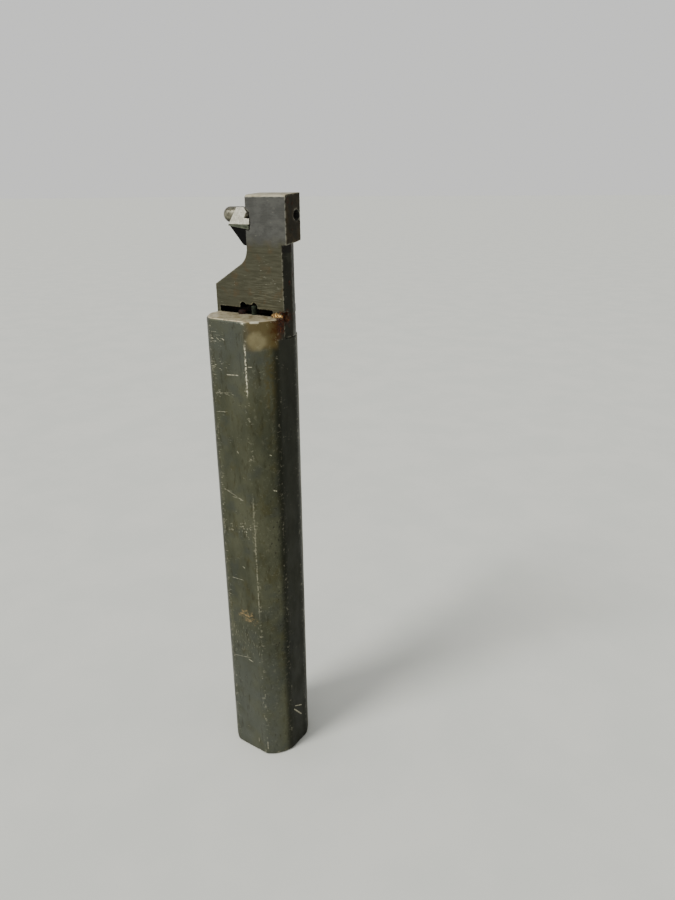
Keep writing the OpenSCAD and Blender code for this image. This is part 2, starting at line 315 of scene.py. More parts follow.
def bar_mesh():
    half = 130
    ring = 2 * half
    side_rows, ledge_rows, face_rings, cone_rings = 316, 12, 12, 4
    front, back = bar_outline(half, half)
    outline = np.concatenate([front, back])
    low = [0.0, 0.12, 0.3, 0.55, 0.8, 1.2]
    body = np.linspace(1.8, LEDGE - 0.5, side_rows).tolist()
    high = np.linspace(LEDGE + 0.5, BAR_TOP - 1.4, ledge_rows).tolist()
    top = [BAR_TOP - x for x in (1.0, 0.8, 0.6, 0.4, 0.22, 0.08, 0.0)]

    def inset(z):
        """The chamfer's depth at height z, with rounded corners."""
        end = min(z, BAR_TOP - z)
        sharp = max(0.0, CHAMFER - end)
        return sharp * 0.94 + 0.05 * math.exp(-(end / CHAMFER - 1) ** 2 * 12)

    points, rows = [], []

    def add(xy, z):
        z = np.broadcast_to(z, (len(xy),))
        rows.append(np.arange(len(xy)) + sum(len(p) for p in points))
        points.append(np.column_stack([xy, z]))

    for z in low + body + [LEDGE]:
        add(outline * (1 - inset(z) / BAR_R), z)
    share = np.arange(half + 1)[:-1, None] / half
    for k, z in enumerate(high + top):
        fronts = front * (1 - inset(z) / BAR_R)
        fronts[0] = [-FLAT_X + inset(z), WALL_Y]
        right = np.array([FLAT_X - inset(z), WALL_Y])
        wall = right + (fronts[0] - right) * share
        level = np.full(ring, z)
        level[half + 1:] = LEDGE if k == 0 else (high + top)[k - 1]
        if k == len(high + top) - 1:
            level[:] = z
        add(np.concatenate([fronts, wall]), level)
    faces = []
    for a, b in zip(rows, rows[1:]):
        c, d = np.roll(a, -1), np.roll(b, -1)
        faces += np.stack([a, c, d, b], 1).tolist()

    # top face, between the front outline and the wall
    last = rows[-1]
    deep = 22
    grid = np.zeros((deep + 1, half + 1), int)
    edge = points[-1]
    fresh, start = [], sum(len(p) for p in points)
    for k in range(deep + 1):
        for i in range(half + 1):
            if k == 0 or i in (0, half):
                grid[k, i] = last[i]
            elif k == deep:
                grid[k, i] = last[(ring - i) % ring]
            else:
                t = k / deep
                grid[k, i] = start + len(fresh)
                fresh.append(edge[i] * (1 - t) + edge[(ring - i) % ring] * t)
    points.append(np.array(fresh))
    for k in range(deep):
        for i in range(half):
            corners = [grid[k, i], grid[k, i + 1], grid[k + 1, i + 1], grid[k + 1, i]]
            corners = list(dict.fromkeys(int(c) for c in corners))
            if len(corners) > 2:
                faces.append(corners)

    # bottom face with its turning centre
    total = sum(len(p) for p in points)
    direction = outline / np.linalg.norm(outline, axis=1)[:, None]
    rim = outline * (1 - inset(0) / BAR_R)
    previous = rows[0]
    rings = [(rim * (1 - t) + direction * CENTRE_MOUTH_R * t, 0.0)
             for t in np.linspace(0, 1, face_rings + 1)[1:]]
    for t in np.linspace(0, 1, cone_rings + 1)[1:]:
        r = CENTRE_MOUTH_R + (CENTRE_R - CENTRE_MOUTH_R) * t
        rings.append((direction * r, CENTRE_MOUTH_DEPTH * t))
    rings.append((direction * CENTRE_R, (CENTRE_MOUTH_DEPTH + CENTRE_DEPTH) / 2))
    rings.append((direction * CENTRE_R, CENTRE_DEPTH))
    for xy, z in rings:
        now = total + np.arange(ring)
        points.append(np.column_stack([xy, np.full(ring, z)]))
        faces += np.stack([previous, now, np.roll(now, -1), np.roll(previous, -1)], 1).tolist()
        total += ring
        previous = now
    points.append(np.array([[0, 0, CENTRE_DEPTH + 0.8]]))
    faces += [[int(a), int(b), total] for a, b in zip(previous, np.roll(previous, -1))]
    return mesh_from("bar", np.concatenate(points), faces)


def within(value, at, reach):
    return np.abs(value - at) < reach


def patch(co, at, reach, seed, ragged=0.3):
    """A soft-edged patch on the surface with a ragged outline."""
    away = np.linalg.norm((co - at) / reach, axis=1) + ragged * noise(co, 1.6, seed)
    return step(away, 1.15, 0.55)


def detailed_bar():
    mesh = bar_mesh()
    co = positions(mesh)
    on_side = lambda p: (p[:, 2] > 3) & (p[:, 2] < BAR_TOP - 3) & (np.hypot(p[:, 0], p[:, 1]) > 14)
    in_front = lambda p: on_side(p) & (p[:, 1] < 0)
    ridge = lambda p: in_front(p) & within(p[:, 0], FLAT_EDGE_X, 0.4) & within(p[:, 2], 203, 10)
    corner = lambda p: in_front(p) & within(p[:, 0], -FLAT_EDGE_X, 0.5)
    pitted = lambda p: on_side(p) & (p[:, 1] < -3) & within(p[:, 0], 16.6, 1.6) & within(p[:, 2], 115, 58)
    rim = lambda p: within(p[:, 2], BAR_TOP, 0.9) & (p[:, 1] < -2)
    foot = lambda p: (p[:, 2] < 0.9) & (np.hypot(p[:, 0], p[:, 1]) > 15)
    # dings: where, how many, seed, radii, depths
    dented = [
        (on_side, 44, 11, (0.7, 1.7), (0.02, 0.08)),
        (ridge, 14, 12, (0.7, 1.2), (0.06, 0.16)),
        (corner, 60, 13, (0.6, 1.2), (0.06, 0.18)),
        (pitted, 44, 16, (0.7, 1.2), (0.04, 0.1)),
        (rim, 12, 14, (0.8, 1.6), (0.08, 0.18)),
        (foot, 26, 15, (0.8, 2.0), (0.1, 0.26)),
    ]
    dings = []
    for where, count, seed, radii, depths in dented:
        dings += chosen(mesh, count, seed, where, radii, depths)
    weather(mesh, seed=20, edge_full=0.05, wear=0.05, nick=0.13, uneven=0.05, dings=dings)

    # coloured patches: mask, middle, reach, seed, how ragged
    stained = [
        ("rust", (17.4, -2.6, 221.8), (4.6, 4.2, 4.8), 31, 0.4),
        ("pale", (13.6, -13.3, 215.4), (4.4, 4.4, 4.0), 37, 0.14),
        ("brown", (17.6, -4.4, 220.0), (6.2, 6.4, 5.6), 38, 0.35),
        ("bronze", (2.2, -16.6, 81.6), (5.4, 2, 3.0), 36, 0.5),
        ("stain", (16.6, -8.6, 198), (3.0, 3.6, 17), 39, 0.3),
    ]
    for name, at, reach, seed, ragged in stained:
        paint(mesh, name, patch(co, at, reach, seed, ragged))

    # heat colours below the braze, and the right flat marked for painted shade
    angle = np.degrees(np.arctan2(co[:, 1], co[:, 0]))
    level = co[:, 2] + 0.7 * noise(co, 3, 34)
    band = step(level, 210.8, 213.4) * step(angle + 4 * noise(co, 3, 35), -67, -51) * step(angle, -13, -21)
    paint(mesh, "tint", band * (co[:, 1] < 0))
    # painted shade: the right flat faces away from the light, so it is marked to be painted darker
    paint(mesh, "side", step(co[:, 0], 16.4, 18.0) * (co[:, 2] < BAR_TOP - 0.2))

    # where scuffs, specks and pits gather
    scuff = step(co[:, 0], -5.5, -9.4) * step(co[:, 1], -15, -16.2)
    for z, width in ((215, 4), (204, 3), (192, 2), (183, 2)):
        scuff = np.maximum(scuff, patch(co, (-7, -16.6, z), (9, 2, width), 40 + z))
    paint(mesh, "scuff", scuff)
    specks = patch(co, (-7, -16.6, 127.5), (4.5, 2, 4.5), 43)
    specks = np.maximum(specks, patch(co, (5.5, -16.4, 129), (7, 3, 5), 44))
    paint(mesh, "specks", specks)
    pits = step(np.abs(angle + 29), 15, 8) * step(np.abs(co[:, 2] - 112), 66, 48)
    paint(mesh, "pits", pits * step(noise(co, 6, 45), -0.7, 0.1))
    top = step(np.abs(co[:, 2] - 203.5), 11.5, 9.5)
    low = 0.26 * step(np.abs(co[:, 2] - 115), 36, 24)
    cool = np.maximum(step(co[:, 2], 186, 212), step(co[:, 2], 84, 44))
    paint(mesh, "cool", cool * step(co[:, 1], -8, -14))
    paint(mesh, "crest", (co[:, 1] < -15) * np.maximum(top, low))
    # the top face, to be painted pale: machined steel, and painted lighter as it faces up to the light
    face_up = (co[:, 2] > BAR_TOP - 0.3) & (co[:, 1] < WALL_Y + 0.01)
    paint(mesh, "shoulder", face_up.astype(float))
    return mesh


# ---------------------------------------------------------------- turned pieces

def lathe(profile, around, thread=None, knurl=None, hexagon=None):
    """A turned mesh about Z from (height, radius) pairs. thread is (low, high, pitch, depth), knurl is
    (low, high, count, depth), hexagon is (first profile row, half width across flats, the height of that
    row by radius or None)."""
    angle = np.linspace(0, 2 * math.pi, around, endpoint=False)
    points, faces = [], []
    for k, (z, r) in enumerate(profile):
        radius = np.full(around, float(r))
        height = np.full(around, float(z))
        if thread and thread[0] <= z <= thread[1]:
            fade = min(1, (z - thread[0]) / thread[2], (thread[1] - z) / thread[2])
            phase = (z / thread[2] - angle / (2 * math.pi)) % 1
            radius -= thread[3] * fade * np.clip(np.abs(phase - 0.5) * 2.6 - 0.25, 0, 1)
        if knurl and knurl[0] <= z <= knurl[1]:
            radius -= knurl[3] * (0.5 + 0.5 * np.cos(angle * knurl[2]))
        if hexagon and k >= hexagon[0]:
            flat = hexagon[1] / np.cos((angle % (math.pi / 3)) - math.pi / 6)
            radius = flat * (r / hexagon[1])
            if k == hexagon[0] and hexagon[2]:
                height = hexagon[2](radius)
        points.append(np.column_stack([radius * np.cos(angle), radius * np.sin(angle), height]))
    rows = np.arange(len(profile) * around).reshape(len(profile), around)
    for a, b in zip(rows, rows[1:]):
        faces += np.stack([a, np.roll(a, -1), np.roll(b, -1), b], 1).tolist()
    bottom, top = len(profile) * around, len(profile) * around + 1
    points.append(np.array([[0, 0, profile[0][0]], [0, 0, profile[-1][0]]]))
    faces += [[int(b), int(a), bottom] for a, b in zip(rows[0], np.roll(rows[0], -1))]
    faces += [[int(a), int(b), top] for a, b in zip(rows[-1], np.roll(rows[-1], -1))]
    return np.concatenate(points), faces


def clamp_screw_mesh():
    tip, thread_top, start, reach = -16, 5.6, 6.4, 12.8
    head_r, key = 3.15, 1.25
    profile = [(tip, 0.4), (tip, 1.5), (tip + 0.4, THREAD_END_R)]
    profile += [(z, THREAD_R) for z in np.arange(tip + 0.5, thread_top, 0.075)]
    profile += [(5.7, 1.9), (6.15, 1.9), (6.38, 1.95), (start, 2.1)]
    profile += [(start, r) for r in np.linspace(2.3, head_r - 0.25, 4)]
    profile += [(start + 0.04, head_r - 0.12), (start + 0.14, head_r - 0.03), (start + 0.3, head_r)]
    profile += [(z, head_r) for z in np.linspace(start + 0.5, reach, 30)]
    turn = np.radians(np.linspace(3, 61, 26))
    profile += [(reach + head_r * math.sin(a), head_r * math.cos(a)) for a in turn]
    rim = len(profile)
    on_dome = lambda r: reach + np.sqrt(head_r ** 2 - r ** 2)
    profile += [(reach + 2.85, key), (reach + 2.5, key - 0.03), (reach + 2.0, key - 0.03),
                (reach + 1.6, key - 0.03), (reach + 1.2, key - 0.03), (reach + 1.15, key - 0.12),
                (reach + 0.95, 0.4)]
    points, faces = lathe(profile, 96, thread=(tip + 0.4, thread_top, PITCH, THREAD_DEPTH),
                          hexagon=(rim, key, on_dome))
    lean = math.radians(SCREW_LEAN)
    axis = np.array([-math.cos(lean), -math.sin(lean), 0])
    side = np.array([math.sin(lean), -math.cos(lean), 0])
    placed = (np.array(SCREW_START) + np.outer(points[:, 2], axis)
              + np.outer(points[:, 0], side) + np.outer(points[:, 1], [0, 0, 1]))
    return mesh_from("clamp_screw", placed, faces)


def heel_screws_mesh():
    tip, top, head, key = LEDGE - 9, BAR_TOP, 4.0, 1.5
    apart, behind = 9.5, 12.6
    profile = [(tip, 0.4), (tip, 1.5), (tip + 0.4, THREAD_END_R)]
    profile += [(z, THREAD_R) for z in np.arange(tip + 0.5, top - 4, 0.1)]
    profile += [(top - 3.5, 1.9), (top - 0.3, 1.9), (top, 2.1), (top + 0.02, 3.2), (top + 0.15, 3.45)]
    profile += [(z, 3.5) for z in np.linspace(top + 0.3, top + head - 0.75, 16)]
    profile += [(top + head - 0.6, 3.46), (top + head - 0.4, 3.4), (top + head - 0.15, 3.2),
                (top + head - 0.03, 3.0), (top + head, 2.8)]
    profile += [(top + head, r) for r in np.linspace(2.6, 1.95, 5)]
    profile += [(top + head - 0.12, 1.78)]
    rim = len(profile)
    profile += [(top + head - 0.3, key), (top + head - 0.8, key), (top + head - 1.4, key),
                (top + head - 1.95, key), (top + head - 2, key - 0.1), (top + head - 2.2, 0.3)]
    points, faces = lathe(profile, 120, thread=(tip + 0.4, top - 4, PITCH, THREAD_DEPTH),
                          knurl=(top + 0.3, top + head - 0.72, 36, 0.11), hexagon=(rim, key, None))
    count = len(points)
    both = [points + [x, behind, 0] for x in (-apart, apart)]
    faces = faces + [[v + count for v in f] for f in faces]
    return mesh_from("heel_screws", np.concatenate(both), faces)


def insert_mesh():
    """The rhomboid insert: flat top, sloping underside, honed edges and a rounded nose."""
    box_low, box_high = (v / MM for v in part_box("insert"))
    front, back = box_low.y, box_high.y
    reach, nose_r = 9.3, 0.8
    nose_x = -reach - (back - front) / math.tan(math.radians(60))
    nose_in = nose_r / math.tan(math.radians(30))
    root = box_high.x
    centre = np.array([nose_x + nose_in, back - nose_r])
    arc = [centre + nose_r * np.array([math.cos(a), math.sin(a)])
           for a in np.radians(np.linspace(90, 210, 15))]
    corners = [np.array([root, front]), np.array([root, back])] + arc + [np.array([-reach, front])]
    loop = []
    for a, b in zip(corners, corners[1:] + corners[:1]):
        n = max(1, int(np.linalg.norm(b - a) / 0.22))
        loop += [a + (b - a) * t for t in np.arange(n) / n]
    loop = np.array(loop)
    n = len(loop)
    tangent = np.roll(loop, -1, 0) - np.roll(loop, 1, 0)
    tangent /= np.linalg.norm(tangent, axis=1)[:, None]
    inward = np.stack([tangent[:, 1], -tangent[:, 0]], 1)
    middle = loop.mean(0)
    inward *= np.sign(np.einsum("ij,ij->i", inward, middle - loop))[:, None]
    slope = math.tan(math.radians(INSERT_TAPER))
    floor = lambda xy: INSERT_TOP - INSERT_T + (POCKET_WALL - xy[:, 0]) * slope
    hone = 0.05
    rings = []
    for t in (0.75, 0.5, 0.25):
        xy = loop + (middle - loop) * t
        rings.append(np.column_stack([xy, np.full(n, INSERT_TOP)]))
    for off, drop in ((0.35, 0), (0.14, 0), (hone, 0), (hone * 0.3, hone * 0.3), (0, hone)):
        rings.append(np.column_stack([loop + inward * off, np.full(n, INSERT_TOP - drop)]))
    under = floor(loop)
    drop = INSERT_TOP - hone
    for t in (0.25, 0.5, 0.75):
        rings.append(np.column_stack([loop, np.maximum(drop + (under + hone - drop) * t, under)]))
    low = np.minimum(under + hone * 0.4, drop)
    rings.append(np.column_stack([loop, low]))
    xy = loop + inward * hone * 0.5
    rings.append(np.column_stack([xy, np.minimum(floor(xy), INSERT_TOP - hone * 0.5)]))
    for t in (0.3, 0.6, 0.85):
        xy = loop + (middle - loop) * t
        rings.append(np.column_stack([xy, floor(xy)]))
    points = np.concatenate(rings + [[[*middle, INSERT_TOP]], [[*middle, floor(middle[None])[0]]]])
    rows = np.arange(len(rings) * n).reshape(len(rings), n)
    faces = []
    for a, b in zip(rows, rows[1:]):
        faces += np.stack([a, np.roll(a, -1), np.roll(b, -1), b], 1).tolist()
    top, bottom = len(rings) * n, len(rings) * n + 1
    faces += [[int(a), int(b), top] for a, b in zip(rows[0], np.roll(rows[0], -1))]
    faces += [[int(b), int(a), bottom] for a, b in zip(rows[-1], np.roll(rows[-1], -1))]
    return mesh_from("insert", points, faces)


# ---------------------------------------------------------------- materials

def srgb(*values):
    """Display colour from 0 to 255 to linear, with alpha."""
    linear = [v / 255 for v in values]
    linear = [v / 12.92 if v <= 0.04045 else ((v + 0.055) / 1.055) ** 2.4 for v in linear]
    return (*linear, 1.0)


class Finish:
    """Builds one procedural material, node by node."""

    def __init__(self, name, metallic, gloss=0.2):
        self.material = bpy.data.materials.new(name)
        self.material.use_nodes = True
        self.tree = self.material.node_tree
        self.surface = self.tree.nodes["Principled BSDF"]
        self.surface.inputs["Metallic"].default_value = metallic
        self.surface.inputs["Specular IOR Level"].default_value = gloss
        self.place = self.node("ShaderNodeTexCoord").outputs["Object"]
        self.axes = self.node("ShaderNodeSeparateXYZ", {0: self.place}).outputs

    def node(self, kind, inputs=None, **settings):
        made = self.tree.nodes.new(kind)
        for key, value in settings.items():
            setattr(made, key, value)
        for key, value in (inputs or {}).items():
            if isinstance(value, bpy.types.NodeSocket):
                self.tree.links.new(value, made.inputs[key])
            else:
                made.inputs[key].default_value = value
        return made

    def maths(self, how, a, b=0.0, c=0.0):
        return self.node("ShaderNodeMath", {0: a, 1: b, 2: c}, operation=how).outputs[0]

    def both(self, *values):
        out = values[0]
        for value in values[1:]:
            out = self.maths("MULTIPLY", out, value)
        return out

    def most(self, *values):
        out = values[0]
        for value in values[1:]:
            out = self.maths("MAXIMUM", out, value)
        return out

    def span(self, value, low, high, to_low=0.0, to_high=1.0):
        """Smooth step of value from low to high; low may be the larger."""
        if low > high:
            low, high, to_low, to_high = high, low, to_high, to_low
        return self.node("ShaderNodeMapRange", {"Value": value, "From Min": low, "From Max": high,
                                                "To Min": to_low, "To Max": to_high},
                         interpolation_type="SMOOTHSTEP").outputs[0]

    def along(self, axis, low, high):
        """Smooth step of the place along X, Y or Z (0, 1, 2), from low to high mm."""
        return self.span(self.axes[axis], low * MM, high * MM)

    def mix(self, low, high, share):
        """The colour low, going to high by share; sockets 6 and 7 are the node's two colours."""
        return self.node("ShaderNodeMix", {0: share, 6: low, 7: high}, data_type="RGBA").outputs[2]

    def cloud(self, size, detail=3.0, rough=0.55, stretch=(1, 1, 1), shift=0.0, bent=0.0):
        """Noise with lumps of about size mm, longer along an axis where stretch is over 1."""
        scale = [1 / (size * MM * s) for s in stretch]
        placed = self.node("ShaderNodeMapping", {"Vector": self.place, "Scale": scale,
                                                 "Location": (shift, shift * 1.7, -shift)})
        return self.node("ShaderNodeTexNoise", {"Vector": placed.outputs[0], "Scale": 1.0, "Detail": detail,
                                                "Roughness": rough, "Distortion": bent}).outputs["Fac"]

    def over(self, base, colour, *shares):
        """The base with a display colour laid over it, by the product of the shares."""
        return self.mix(base, srgb(*colour), self.both(*shares))

    def mask(self, name):
        return self.node("ShaderNodeAttribute", attribute_name=name).outputs["Fac"]

    def stroke(self, start, stop, width):
        """1 on a thin line between two places in mm, fading out over its width."""
        start, stop = Vector(start) * MM, Vector(stop) * MM
        along = stop - start
        away = self.node("ShaderNodeVectorMath", {0: self.place, 1: start}, operation="SUBTRACT").outputs[0]
        share = self.node("ShaderNodeVectorMath", {0: away, 1: along / along.length_squared},
                          operation="DOT_PRODUCT").outputs["Value"]
        share = self.node("ShaderNodeClamp", {0: share}).outputs[0]
        foot = self.node("ShaderNodeVectorMath", {0: along, "Scale": share}, operation="SCALE").outputs[0]
        apart = self.node("ShaderNodeVectorMath", {0: away, 1: foot}, operation="DISTANCE").outputs["Value"]
        return self.span(apart, width * MM, width * MM * 0.35)

    def spots(self, size, reach, stretch=(1, 1, 1), shift=0.0):
        """Scattered round spots about size mm apart; reach is their share of that."""
        scale = [1 / (size * MM * s) for s in stretch]
        placed = self.node("ShaderNodeMapping", {"Vector": self.place, "Scale": scale,
                                                 "Location": (shift, shift * 1.3, -shift)})
        cells = self.node("ShaderNodeTexVoronoi", {"Vector": placed.outputs[0], "Scale": 1.0})
        return self.span(cells.outputs["Distance"], reach, reach * 0.5)

    def colour(self, value):
        self.tree.links.new(value, self.surface.inputs["Base Color"])

    def rough(self, value):
        self.tree.links.new(value, self.surface.inputs["Roughness"])

    def metal(self, value):
        self.tree.links.new(value, self.surface.inputs["Metallic"])

    def bump(self, height, distance, under=None):
        """A normal raised by height over distance mm, on top of the one under it."""
        made = self.node("ShaderNodeBump", {"Height": height, "Distance": distance * MM, "Strength": 1.0})
        if under is not None:
            self.tree.links.new(under, made.inputs["Normal"])
        return made.outputs[0]

    def done(self, normal):
        self.tree.links.new(normal, self.surface.inputs["Normal"])
        return self.material


def rust_colour(f, shift):
    """Patchy iron rust: nearly black, red-brown and orange."""
    fine = f.cloud(0.7, 4, 0.7, shift=shift)
    broad = f.cloud(2.6, 3, 0.6, shift=shift + 3)
    dark = f.mix(srgb(22, 9, 2), srgb(84, 38, 10), f.span(fine, 0.38, 0.7))
    return f.mix(dark, srgb(132, 70, 24), f.span(broad, 0.58, 0.78))


# scratches on the bar's front, in mm: x and height of one end, then of the other, and the width
FRONT_SCRATCHES = [
    (-8.5, 215.5, -7.5, 215, 0.3), (-5.5, 215.5, -4.5, 215, 0.25), (-2.5, 215.5, -1.5, 215, 0.3),
    (-10, 204, -6.5, 204, 0.2), (-10, 203, -8, 203.5, 0.2), (-10.5, 201, -8.5, 201, 0.2),
    (-1, 200.5, 5, 201, 0.35), (-8.5, 191.5, -1, 192.5, 0.15), (-9, 183, -2.5, 184, 0.15),
    (10.5, 205, 11.5, 205, 0.3), (-7.5, 147, 3.5, 143.5, 0.15), (-7, 146.5, -3, 146.5, 0.15),
    (-2.5, 144, 3, 144, 0.15), (2, 143.5, 3.5, 143.5, 0.3), (16.2, 149, 16.8, 148.5, 0.5),
    (2, 166.5, 2.5, 166, 0.35), (15.6, 166, 16, 165.5, 0.3), (1, 109, 2, 108.5, 0.3),
    (-6, 101, 0.5, 101.5, 0.2), (1, 56.5, 3.5, 56, 0.35), (-8, 55.5, 2.5, 58, 0.15),
    (10, 8.5, 10, 4, 0.3), (4.5, 9, 4.5, 6, 0.2),
]
# and on its right flat: y and height of one end, then of the other, and the width
RIGHT_SCRATCHES = [(-2.5, 25.5, 2.5, 22.5, 0.45), (-3.5, 24, 2, 17, 0.6)]


def on_front(x, z):
    """The place on the bar's front, on its flat or its round side, at x and height z."""
    return x, -min(FLAT_Y, math.sqrt(BAR_R ** 2 - x ** 2)), z


def bar_steel():
    f = Finish("bar_steel", 0.62)
    edge, ding = f.mask("edge"), f.mask("ding")
    mottle = f.cloud(18, 4, 0.6, (1, 1, 2.2))
    blotch = f.cloud(6, 4, 0.65, (1, 1, 1.5), 4.0)
    grain = f.cloud(0.8, 3, 0.6, (1, 1, 1.6), 7.0)
    base = f.mix(srgb(64, 66, 51), srgb(82, 83, 65), f.span(mottle, 0.38, 0.62))
    base = f.over(base, (68, 65, 38), f.span(blotch, 0.5, 0.72), 0.6)
    base = f.over(base, (60, 64, 60), f.span(f.cloud(10, 3, 0.5, shift=11.0), 0.5, 0.7), 0.5)
    base = f.over(base, (78, 81, 74), f.mask("cool"), f.span(f.cloud(8, 3, shift=19.0), 0.3, 0.6, 0.3, 0.8))
    base = f.over(base, (38, 38, 28), f.span(grain, 0.58, 0.74), 0.35)
    grimy = f.span(f.cloud(2.4, 4, 0.65, (1, 1, 3), 13.0), 0.54, 0.7)
    base = f.over(base, (46, 44, 26), grimy, 0.5)
    base = f.over(base, (82, 72, 36), f.mask("stain"), f.span(f.cloud(2.5, 3, shift=15.0), 0.35, 0.6), 0.55)
    bronze = f.both(f.mask("bronze"), f.span(f.cloud(0.9, 3, 0.65, (2, 1, 1), 39.0), 0.46, 0.62))
    base = f.over(base, (172, 144, 100), bronze, 0.65)
    # painted shade: the right flat is painted dark, as it faces away from the light
    base = f.over(base, (16, 18, 10), f.mask("side"), 0.85)
    base = f.over(base, (44, 45, 34), f.along(0, -8.2, -10.2), 0.6)
    base = f.over(base, (104, 88, 50), f.mask("tint"), 0.65)
    uneven = f.span(f.cloud(3.2, 3, shift=17.0), 0.3, 0.6, 0.5, 0.75)
    base = f.over(base, (140, 132, 100), f.mask("pale"), uneven)
    uneven = f.span(f.cloud(3, 3, shift=2.0), 0.35, 0.6, 0.3, 0.95)
    base = f.over(base, (68, 40, 8), f.mask("brown"), uneven)
    # the top face: pale machined steel, with painted light as it faces up
    shoulder = f.mask("shoulder")
    pale = f.mix(srgb(196, 186, 158), srgb(150, 134, 98), f.span(f.cloud(2.5, 3), 0.42, 0.68))
    base = f.mix(base, pale, shoulder)
    # short scratches across the flats, gathered at their edges, and a few that are placed
    across = f.cloud(0.3, 2, 0.5, (8, 8, 1), 21.0)
    scratch = f.both(f.span(across, 0.64, 0.7), f.mask("scuff"), 0.8)
    faint = f.both(f.span(f.cloud(0.26, 2, 0.5, (12, 12, 1), 25.0), 0.68, 0.74),
                   f.span(f.cloud(8, 2, shift=23.0), 0.52, 0.62))
    scratch = f.most(scratch, f.both(faint, 0.3))
    marks = [(on_front(x, z), on_front(x_end, z_end), width)
             for x, z, x_end, z_end, width in FRONT_SCRATCHES]
    marks += [((FLAT_X, y, z), (FLAT_X, y_end, z_end), width)
              for y, z, y_end, z_end, width in RIGHT_SCRATCHES]
    for start, stop, width in marks:
        scratch = f.most(scratch, f.both(f.stroke(start, stop, width * 0.7), 0.75))
    scratch = f.both(scratch, f.span(f.cloud(0.6, 2, shift=27.0), 0.36, 0.52, 0.15, 1))
    slant = f.node("ShaderNodeMapping", {"Vector": f.place, "Rotation": (0.0, 0.7, 0.0),
                                         "Scale": (2400, 200, 420)})
    slanted = f.node("ShaderNodeTexNoise", {"Vector": slant.outputs[0], "Scale": 1.0, "Detail": 2.0})
    region = f.both(f.along(2, 54, 60), f.along(2, 82, 72), f.along(1, -15.8, -16.4))
    scratch = f.most(scratch, f.both(f.span(slanted.outputs["Fac"], 0.62, 0.72), region, 0.3))
    specks = f.both(f.spots(0.8, 0.3, shift=31.0), f.span(f.cloud(1.6, 2, shift=32.0), 0.46, 0.58),
                    f.mask("specks"))
    strewn = f.both(f.spots(9, 0.03, shift=33.0), 0.4)
    from_edge = f.maths("ABSOLUTE", f.maths("SUBTRACT", f.axes[0], FLAT_EDGE_X * MM))
    crest = f.span(from_edge, 0.42 * MM, 0.2 * MM)
    worn = f.most(f.both(crest, f.mask("crest"), f.span(f.cloud(0.8, 2, 0.6, (1, 1, 1.4), 35.0), 0.44, 0.56)),
                  f.both(edge, f.span(f.cloud(1.6, 3, 0.7, shift=5.0), 0.56, 0.68), 0.7),
                  f.both(ding, f.span(f.cloud(0.6, 2, shift=8.0), 0.52, 0.7), 0.2))
    # painted highlight: a bright stroke on the shoulder's chamfer, where it catches the light; it is laid in
    # with the bare metal below
    painted_highlight = f.stroke((11.9, -14.7, 223.3), (13.9, -12.9, 223.3), 0.9)
    bare = f.most(worn, scratch, specks, strewn, painted_highlight)
    base = f.over(base, (224, 218, 192), bare, 0.8)
    base = f.over(base, (20, 19, 14), f.mask("hollow"), 0.8)
    pits = f.both(f.spots(1.3, 0.4, (1, 1, 1.5), 37.0), f.mask("pits"),
                  f.span(f.cloud(1.8, 3, 0.6, shift=38.0), 0.44, 0.6))
    base = f.over(base, (26, 25, 18), pits, 0.6)
    rust = f.both(f.mask("rust"), f.span(f.cloud(1.2, 4, 0.7, shift=9.0), 0.3, 0.5))
    f.colour(f.mix(base, rust_colour(f, 1.0), rust))
    f.metal(f.span(rust, 0, 1, 0.62, 0.05))
    rough = f.span(f.cloud(6, 4, 0.6, (1, 1, 2), 2.0), 0.3, 0.7, 0.40, 0.58)
    rough = f.maths("ADD", rough, f.both(rust, 0.35))
    f.rough(f.maths("SUBTRACT", rough, f.both(bare, 0.1)))
    normal = f.bump(f.cloud(0.25, 3, 0.6, (6, 6, 1), 3.0), 0.01)
    normal = f.bump(grain, 0.02, under=normal)
    sunk = f.maths("ADD", f.both(scratch, 0.3), pits)
    normal = f.bump(f.maths("SUBTRACT", f.both(rust, f.cloud(0.5, 3)), sunk), 0.2, under=normal)
    return f.done(normal)


